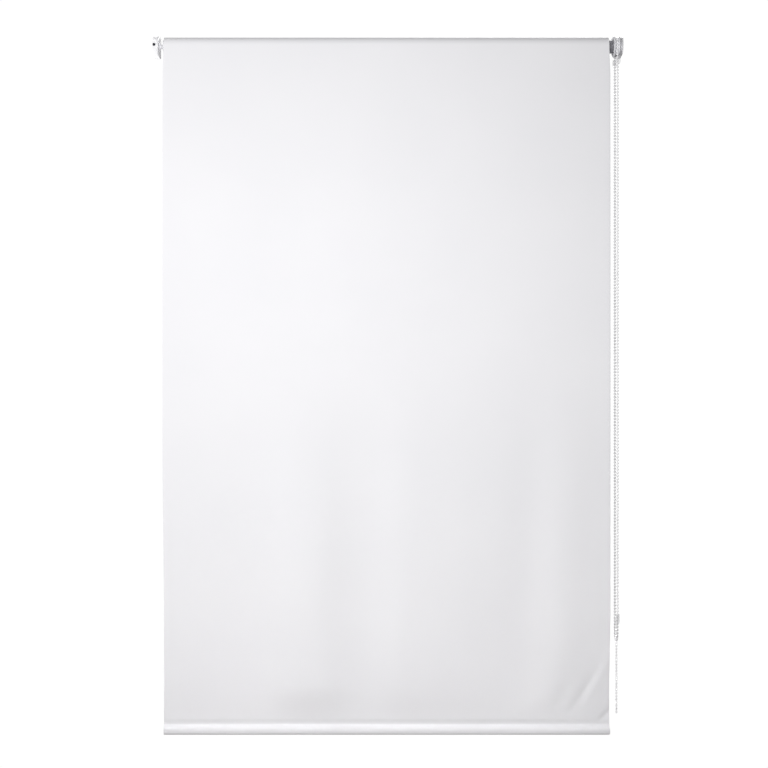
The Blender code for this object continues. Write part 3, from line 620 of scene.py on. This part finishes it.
def cloth_waves(x, z):
    """How far the cloth stands behind its fall's top, in metres, at points given in millimetres."""
    lean = 26 * (z + 1000) / 300
    waves = np.zeros_like(x)
    for middle, width, strength in COLUMNS:
        step = np.tanh((x - middle - 0.35 * lean * np.sign(middle)) / width)
        waves += -WAVE_SHARE * strength * width * step
    waves *= eased((-z - 560) / 480) * eased((z + 1292) / 70)  # from mid-height to the hem
    tall = 1.4 * np.sin((z + 90) / 210) * np.cos((x + 60) / 330) * eased(-z / 300)
    waves += tall * eased((z + 1292) / 200)
    for start, end, width, depth in CREASES:
        ax, az = start
        bx, bz = end[0] - ax, end[1] - az
        t = np.clip(((x - ax) * bx + (z - az) * bz) / (bx * bx + bz * bz), 0, 1)
        gap = np.hypot(x - ax - t * bx, z - az - t * bz)
        fold = depth * np.exp(-((gap / width) ** 2)) * np.sin(np.pi * (0.15 + 0.7 * t))
        waves += fold * eased((z + 1291.5) / 8)
    curl = 0.4 * np.exp((np.abs(x) - CLOTH_HALF / MM) / 2.2) * eased(-z / 40)
    fall = (SEAM_Y - TOP_Y) / MM - SEAM_DIP
    return (waves + curl + fall * eased(-z / 500) + SEAM_DIP * eased((-z - 1285) / 6)) * MM


def sheet_grid(name, rows):
    """A sheet of quads from rows of points, one row for each column of the cloth."""
    across, down = len(rows), len(rows[0])
    points = [p for row in rows for p in row]
    faces = []
    for i in range(across - 1):
        for k in range(down - 1):
            a = i * down + k
            faces.append((a, a + 1, a + down + 1, a + down))
    return mesh_piece(name, points, faces)


def thicken(sheet, thickness=CLOTH_THICKNESS):
    """Gives a sheet of quads a thickness, half to each side."""
    modify(sheet, "SOLIDIFY", thickness=thickness, offset=0)
    face_out(sheet)


def cloth_columns(fine_from, coarse, fine):
    """X of the cloth's columns in mm: closer together at both edges and after fine_from."""
    half = CLOTH_HALF / MM
    left = [-half + step for step in EDGE_STEPS]
    right = [half - step for step in reversed(EDGE_STEPS)]
    middle = np.linspace(left[-1], fine_from, coarse + 1)[1:]
    return np.concatenate([left, middle, np.linspace(fine_from, right[0], fine + 1)[1:-1], right])


def hanging_cloth():
    xs = cloth_columns(240, 104, 66)
    finer = -1140  # from here down the rows lie closer together
    zs = np.concatenate([np.linspace(0, finer, 136), np.linspace(finer, HEM_TOP / MM, 70)[1:]])
    left, right = side_edges(zs)
    rows = []
    for x in xs:
        share = x / (CLOTH_HALF / MM)
        across = x + share * np.where(share < 0, left, right)
        depth = cloth_waves(np.full_like(zs, x), zs)
        rows.append([(place * MM, TOP_Y + y, z * MM) for place, y, z in zip(across, depth, zs)])
    cloth = sheet_grid("hanging_cloth", rows)
    thicken(cloth)
    return settle(cloth, "hanging_cloth", CLOTH, "fixed", ["cloth_panel"])


# The hem's front from the seam to the bar's widest line, as (y, z) in mm from the bar's centre
HEM_SHOULDER = (
    (-1.3, 12.4),
    (-2.9, 10.6),
    (-4.3, 8.9),
    (-5.4, 7.2),
    (-6.1, 5.4),
    (-6.35, 3.6),
    (-6.3, 1.7),
)


def hem_sleeve():
    """The cloth turned back round the bar: a flat welded seam above, a shouldered drop below."""
    radius = BAR_CENTRE.z - HEM_FOOT - CLOTH_THICKNESS / 2
    seam_middle, seam_low = HEM_TOP - 1.6 * MM, HEM_TOP - 3.4 * MM
    front, back = SEAM_Y, SEAM_Y + CLOTH_THICKNESS + 0.1 * MM
    lean = math.acos(radius / (seam_low - BAR_CENTRE.z))
    profile = [(front, HEM_TOP), (front, seam_middle), (front, seam_low)]
    profile += [(BAR_CENTRE.y + y * MM, BAR_CENTRE.z + z * MM) for y, z in HEM_SHOULDER]
    sweep = 3 * math.pi / 2 - lean
    for angle in math.pi + sweep * np.linspace(0, 1, 30):
        y, z = radius * math.cos(angle), radius * math.sin(angle)
        profile.append((BAR_CENTRE.y + y, BAR_CENTRE.z + z))
    profile += [(back, seam_low), (back, seam_middle), (back, HEM_TOP)]
    left, right = (float(side) for side in side_edges(HEM_TOP / MM))
    rows = []
    for x in cloth_columns(0, 50, 50):
        share = x * MM / CLOTH_HALF
        place = x * MM + share * (right if share > 0 else left) * MM
        swell = 0.3 * MM * math.sin(x / 37) * math.sin(x / 91 + 1)
        row = []
        for y, z in profile:
            bulge = max(0, min(1, (seam_low - z) / (6 * MM))) * (1 if z > BAR_CENTRE.z else 0.3)
            row.append((place, y + swell * bulge * (1 if y > BAR_CENTRE.y else -1), z))
        rows.append(row)
    hem = sheet_grid("hem_sleeve", rows)
    thicken(hem)
    return settle(hem, "hem_sleeve", CLOTH, "hem", ["hem_pocket"], 60)


# ---- The roll ----


def spiral_cloth():
    """The cloth wound on the tube, one layer on the next."""
    layers = 7.2
    inner, outer = 13.45 * MM, 16.2 * MM
    steps = int(layers * 56)
    end = math.radians(-160)
    rim = 8 * MM  # width at each side over which the layers lie a little uneven
    sides = (-CLOTH_HALF, -CLOTH_HALF + rim, CLOTH_HALF - rim, CLOTH_HALF)
    rows = []
    for number, side in enumerate(sides):
        row = []
        for k in range(steps + 1):
            share = k / steps
            angle = end - 2 * math.pi * layers * (1 - share)
            radius = inner + (outer - inner) * share
            drift = 0
            if abs(side) == CLOTH_HALF:
                drift = abs(0.5 * MM * math.sin(angle * 0.37 + number) * (1 - share))
            place = side - math.copysign(drift, side)
            row.append((place, AXIS.y + radius * math.cos(angle), radius * math.sin(angle)))
        rows.append(row)
    roll = sheet_grid("wound_layers", rows)
    thicken(roll, 0.34 * MM)  # thinner than the cloth, so that the layers stay apart
    return settle(roll, "wound_layers", CLOTH, "roller", ["wound_cloth"], 50)


def outer_wrap():
    """The last turn, from behind the hanging cloth over the roll's top and round to its foot."""
    steps = 96
    turn = math.radians(352)
    rows = []
    for x in cloth_columns(0, 12, 12):
        row = []
        for k in range(steps + 1):
            share = k / steps
            angle = math.pi - turn * share
            radius = WRAP_RADIUS - 0.42 * MM * eased(share * 1.02)
            row.append((x * MM, AXIS.y + radius * math.cos(angle), radius * math.sin(angle)))
        rows.append(row)
    wrap = sheet_grid("outer_wrap", rows)
    thicken(wrap)
    return settle(wrap, "outer_wrap", CLOTH, "fixed", (), 50)


cloth = hanging_cloth()
hem = hem_sleeve()
wrap = outer_wrap()
spiral_cloth()
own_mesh(cloth)


# ---- Tube, bar and their plugs ----


def pipe(node, outer, bore, sides, centre):
    """A pipe as long as a frame piece, with the burr taken off its outer edges."""
    left, right = (corner.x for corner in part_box(node))
    edge = 0.2 * MM
    outline = [(left, bore), (left, outer - edge), (left + edge, outer), (right - edge, outer)]
    outline += [(right, outer - edge), (right, bore)]
    return lathe(outline, sides, centre)


def bar_plug(node, side):
    """A domed stopper with a small gate mark in its face and ribs on its shank."""
    low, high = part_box(node)
    face = high.x if side > 0 else low.x
    end = low.x if side > 0 else high.x
    head, shank, head_depth = BAR_RADIUS, 4.2 * MM, 2.5 * MM
    outline = [
        (face - side * 0.35 * MM, 1.0 * MM),
        (face - side * 0.05 * MM, 1.4 * MM),
        (face, 3.4 * MM),
        (face - side * 0.35 * MM, 4.7 * MM),
        (face - side * 0.9 * MM, 5.3 * MM),
        (face - side * 1.4 * MM, head),
        (face - side * head_depth, head),
    ]
    x = face - side * head_depth
    while abs(end - x) > 2.6 * MM:
        outline += [(x, shank - 0.3 * MM), (x - side * 1.2 * MM, shank - 0.3 * MM)]
        outline += [(x - side * 1.5 * MM, shank), (x - side * 2.4 * MM, shank)]
        x -= side * 2.4 * MM
    outline.append((end, shank - 0.8 * MM))
    piece = lathe(outline, 48, BAR_CENTRE, closed=False)
    settle(piece, node + "_moulding", WHITE, "hem", [node], 40)


tube = pipe("roller_tube", TUBE_RADIUS, TUBE_BORE, 128, AXIS)
settle(tube, "tube", TUBE, "roller", ["roller_tube"], 50)
bar = pipe("bottom_bar", BAR_RADIUS, BAR_BORE, 64, BAR_CENTRE)
settle(bar, "bar", ZINC, "hem", ["bottom_bar"], 50)
bar_plug("bar_plug_left", -1)
bar_plug("bar_plug_right", 1)


# ---- Chain wheel ----


def chain_wheel():
    """Two rims and a groove between them, with a pocket for each bead."""
    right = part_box("chain_wheel")[1].x
    left = right - WHEEL_WIDTH
    outline = [
        (left, MANDREL_BORE),
        (left, 10.6 * MM),
        (left + 0.7 * MM, 11.0 * MM),
        (left + 0.7 * MM, 18.0 * MM),
        (left, 18.4 * MM),
        (left, 19.6 * MM),
        (left + 0.35 * MM, WHEEL_RADIUS),
        (left + 1.25 * MM, WHEEL_RADIUS),
        (left + 1.6 * MM, 19.6 * MM),
        (left + 3.2 * MM, 15.4 * MM),
        (left + 3.5 * MM, 14.4 * MM),
        (CHAIN_X + 2.4 * MM, 14.4 * MM),
        (CHAIN_X + 2.6 * MM, 15.4 * MM),
        (right - 1.2 * MM, 19.7 * MM),
        (right - 0.9 * MM, WHEEL_RADIUS),
        (right - 0.3 * MM, WHEEL_RADIUS),
        (right, 19.7 * MM),
        (right, MANDREL_BORE),
    ]
    piece = lathe(outline, 128, AXIS)
    deselect()
    bpy.ops.mesh.primitive_uv_sphere_add(segments=20, ring_count=12, radius=BEAD_RADIUS + 0.25 * MM)
    ball = bpy.context.object
    in_order(ball)
    pockets = [ball.copy() for _ in range(BEADS_ROUND - 1)] + [ball]
    for number, pocket in enumerate(pockets):
        if pocket != ball:
            pocket.data = ball.data.copy()
            bpy.context.scene.collection.objects.link(pocket)
        angle = bead_phase() + 2 * math.pi * number / BEADS_ROUND
        y, z = PITCH_RADIUS * math.cos(angle), PITCH_RADIUS * math.sin(angle)
        pocket.location = (CHAIN_X, AXIS.y + y, z)
        pocket.select_set(True)
    bpy.context.view_layer.objects.active = ball
    bpy.ops.object.join()
    carve(piece, ball)
    settle(piece, "wheel", WHITE, "roller", ["chain_wheel"], 40)


def bead_phase():
    """The angle of the bead that sits nearest to the wheel's top."""
    top = max(loop_line[1::2], key=lambda p: p[2])
    return math.atan2(top[2], top[1] - AXIS.y)


def wheel_sleeve():
    """The slotted sleeve on the wheel's side that carries its turn to the clutch in the tube."""
    low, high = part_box("chain_wheel")
    right = high.x - WHEEL_WIDTH + 0.4 * MM
    edge = 0.3 * MM
    outline = [(low.x, SLEEVE_BORE), (low.x, SLEEVE_OUTER - edge), (low.x + edge, SLEEVE_OUTER)]
    outline += [(right, SLEEVE_OUTER), (right, SLEEVE_BORE)]
    piece = lathe(outline, 96, AXIS)
    deselect()
    slot_middle = ((low.x + right) / 2 - 4 * MM, AXIS.y, 10 * MM)
    bpy.ops.mesh.primitive_cube_add(size=1, location=slot_middle)
    slot = bpy.context.object
    slot.scale = (right - low.x, 2 * SLEEVE_OUTER * math.sin(math.radians(27)), 12 * MM)
    bpy.ops.object.transform_apply(location=True, rotation=True, scale=True)
    carve(piece, slot)
    settle(piece, "wheel_sleeve", WHITE, "roller", (), 40)


chain_wheel()
wheel_sleeve()


# ---- Springs ----


def coil(start, pitch, turns, radius, wire, first=90, tang=0):
    """A spring about the roller's axis, from x = start, with its ends bent out by tang."""
    deselect()
    bpy.ops.mesh.primitive_circle_add(
        vertices=12,
        radius=wire,
        location=(start, AXIS.y, AXIS.z),
        rotation=(math.pi / 2, 0, 0),
        fill_type="NOTHING",
    )
    piece = bpy.context.object
    bpy.ops.object.transform_apply(location=False, rotation=True, scale=True)
    with edited(piece):
        bpy.ops.transform.translate(value=(0, 0, radius))
    whole = math.ceil(turns)
    modify(
        piece,
        "SCREW",
        axis="X",
        angle=2 * math.pi * turns / whole,
        screw_offset=pitch * turns / whole,
        iterations=whole,
        steps=36,
        render_steps=36,
        use_normal_calculate=True,
    )
    piece.rotation_euler = (math.radians(first - 90), 0, 0)
    bpy.ops.object.transform_apply(location=True, rotation=True, scale=True)
    for ring in open_rings(piece):
        pick(piece)
        bpy.ops.object.mode_set(mode="EDIT")
        bpy.ops.mesh.select_all(action="DESELECT")
        bpy.ops.object.mode_set(mode="OBJECT")
        for index in ring:
            piece.data.vertices[index].select = True
        out = sum((piece.data.vertices[i].co for i in ring), Vector()) / len(ring) - AXIS
        out.x = 0
        bpy.ops.object.mode_set(mode="EDIT")
        bpy.ops.mesh.select_mode(type="VERT")
        bpy.ops.mesh.edge_face_add()
        if tang:
            move = {"value": out.normalized() * tang}
            bpy.ops.mesh.extrude_region_move(TRANSFORM_OT_translate=move)
        bpy.ops.object.mode_set(mode="OBJECT")
    face_out(piece)
    in_order(piece)
    return piece


def open_rings(piece):
    """The vertices of the open ends of a coil, its low-x end first."""
    uses = {}
    for polygon in piece.data.polygons:
        for key in polygon.edge_keys:
            uses[key] = uses.get(key, 0) + 1
    rim = sorted({i for key, count in uses.items() if count == 1 for i in key})
    rim.sort(key=lambda i: piece.data.vertices[i].co.x)
    half = len(rim) // 2
    return rim[:half], rim[half:]


def springs():
    low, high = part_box("idle_spring")
    wire, turns = 0.5 * MM, 7
    pitch = (high.x - low.x - 2 * wire) / turns
    spring = coil(low.x + wire, pitch, turns, 6.2 * MM, wire)
    settle(spring, "pin_spring", WIRE, "roller", ["idle_spring"], 60)
    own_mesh(spring)
    for node in ("wrap_spring_inner", "wrap_spring_outer"):
        low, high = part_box(node)
        wire = 0.6 * MM
        turns = 6 + 42 / 360  # both ends stand in the sleeve's slot, 42 degrees apart
        pitch = (high.x - low.x - 2 * wire) / turns
        radius = SLEEVE_BORE - 0.9 * MM
        tang = SLEEVE_OUTER - wire - radius
        spring = coil(low.x + wire, pitch, turns, radius, wire, 90 - 42 / 2, tang)
        settle(spring, node + "_coil", WIRE, "roller", [node], 60)


springs()


# ---- Softened copies of the frame's fittings ----


def fitting(node, name, material, body, bevel, segments=2):
    settle(softened(node, bevel, segments), name, material, body, [node], 38)


fitting("bracket_left", "idle_bracket", PAINT, "fixed", 0.45 * MM, 3)
fitting("bracket_right", "chain_bracket", PAINT, "fixed", 0.45 * MM, 3)
fitting("chain_guide", "strand_guide", CLEAR, "fixed", 0.35 * MM)
fitting("clutch_mandrel", "mandrel", WHITE, "fixed", 0.25 * MM)
fitting("pin_bush", "bush", WHITE, "fixed", 0.2 * MM)
fitting("idle_pin", "spring_pin", WHITE, "idle_pin", 0.2 * MM)
fitting("idle_plug", "end_plug", WHITE, "roller", 0.2 * MM)
fitting("plug_cap", "end_plug_cap", WHITE, "roller", 0.2 * MM)
fitting("drive_adaptor", "adaptor", WHITE, "roller", 0.15 * MM)
fitting("retaining_clip", "open_ring", WIRE, "fixed", 0.12 * MM)
fitting("cloth_tape", "double_sided_tape", TAPE, "roller", 0.05 * MM, 1)
for screw in ("wall_screw_left", "wall_screw_right_upper", "wall_screw_right_lower"):
    fitting(screw, screw + "_turned", OXIDE, "fixed", 0.12 * MM)

deselect()
